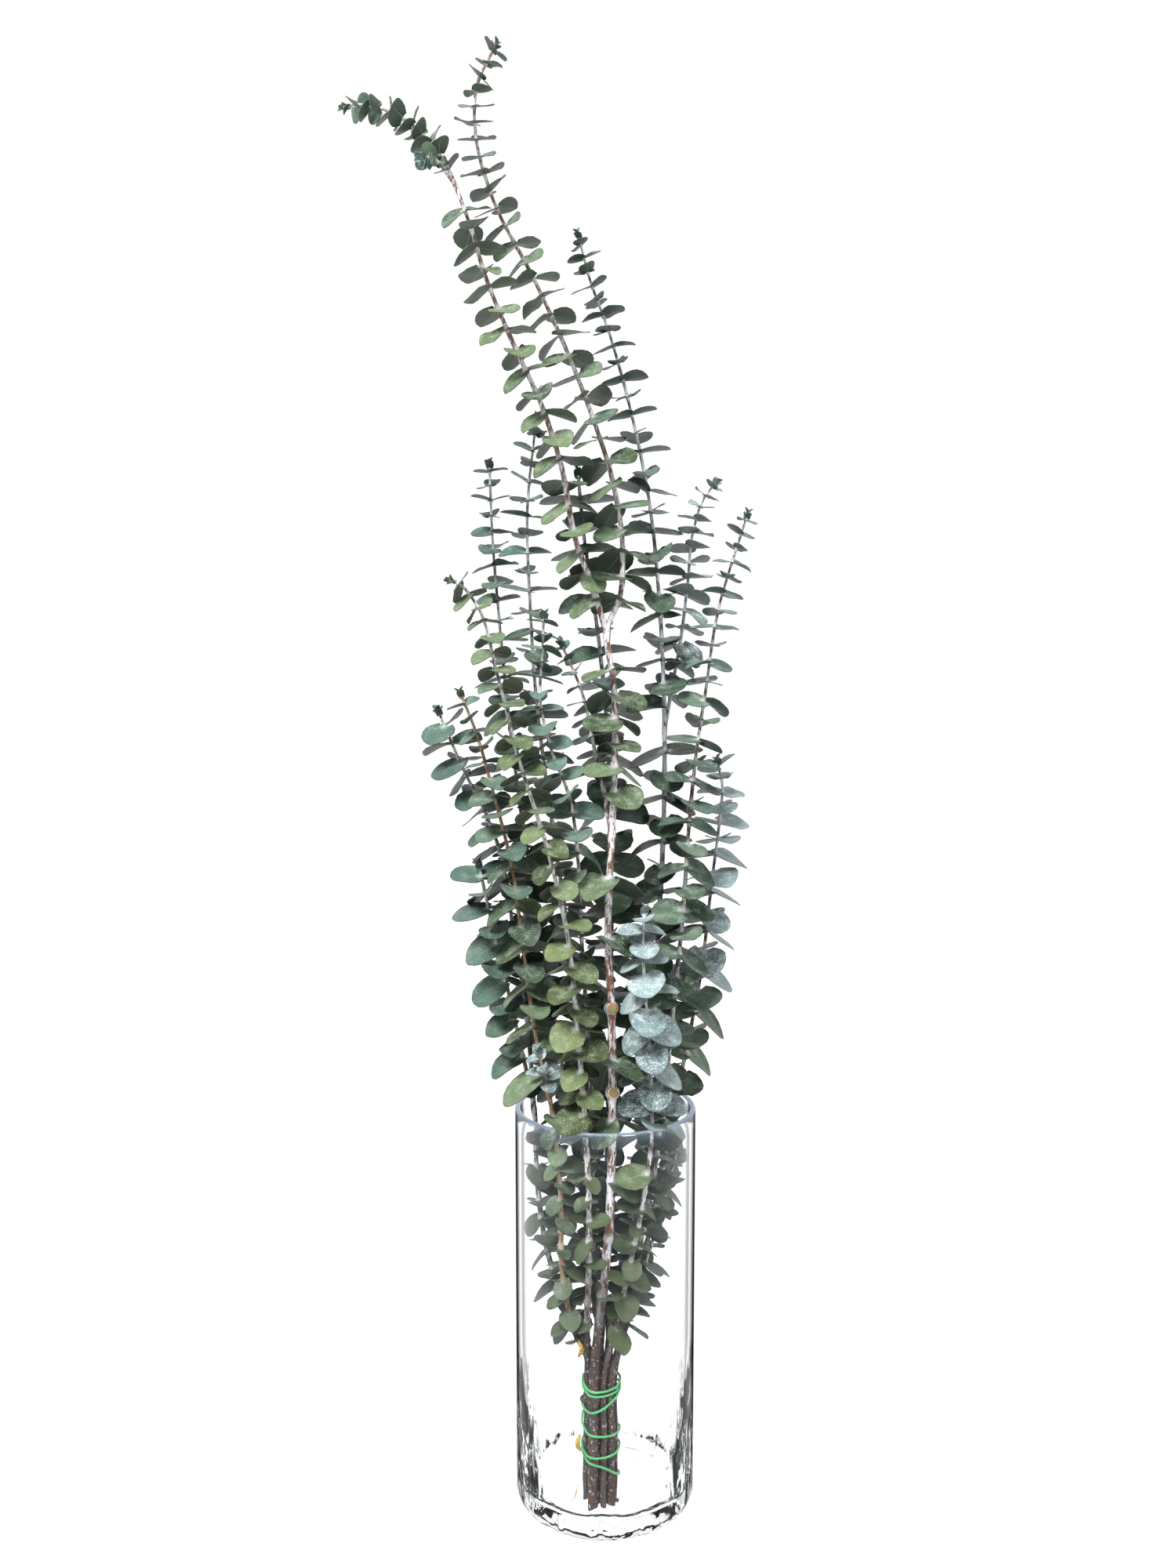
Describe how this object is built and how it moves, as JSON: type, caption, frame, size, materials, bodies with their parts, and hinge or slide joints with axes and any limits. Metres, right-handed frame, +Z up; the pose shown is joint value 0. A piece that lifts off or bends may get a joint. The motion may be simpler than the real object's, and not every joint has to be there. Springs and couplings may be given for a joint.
{
  "type": "eucalyptus branches in a glass vase",
  "caption": "Tied bunch of tall eucalyptus branches with round paired leaves, bound low down with green twine and standing in a clear glass cylinder vase.",
  "frame": {"origin": "centre of the vase's flat foot, on the surface it stands on", "axes": "+Z up along the vase's axis, -Y towards the side the twine and the trunk's cut stubs face"},
  "size_m": [0.217, 0.1062, 0.7935],
  "materials": {
    "clear_glass": "polished",
    "olive_branch": "matte",
    "sage_branch": "matte",
    "blue_branch": "matte",
    "deep_branch": "matte",
    "mint_twine": "matte",
    "dry_bark": "matte"
  },
  "bodies": {
    "root": {"vase": "clear_glass", "branch_trunk": "olive_branch", "branch_front_left": "olive_branch", "branch_front_right": "blue_branch", "branch_left_low": "olive_branch", "branch_centre_left": "sage_branch", "branch_right": "sage_branch", "branch_left_outer": "deep_branch", "branch_tall_right": "deep_branch", "branch_back_left": "deep_branch", "branch_back_middle": "deep_branch", "branch_far_left": "deep_branch", "branch_far_right": "blue_branch", "branch_short_right": "blue_branch", "twine": "mint_twine", "dry_bract_upper": "dry_bark", "dry_bract_lower": "dry_bark", "bark_splinter": "dry_bark"}
  },
  "joints": []
}
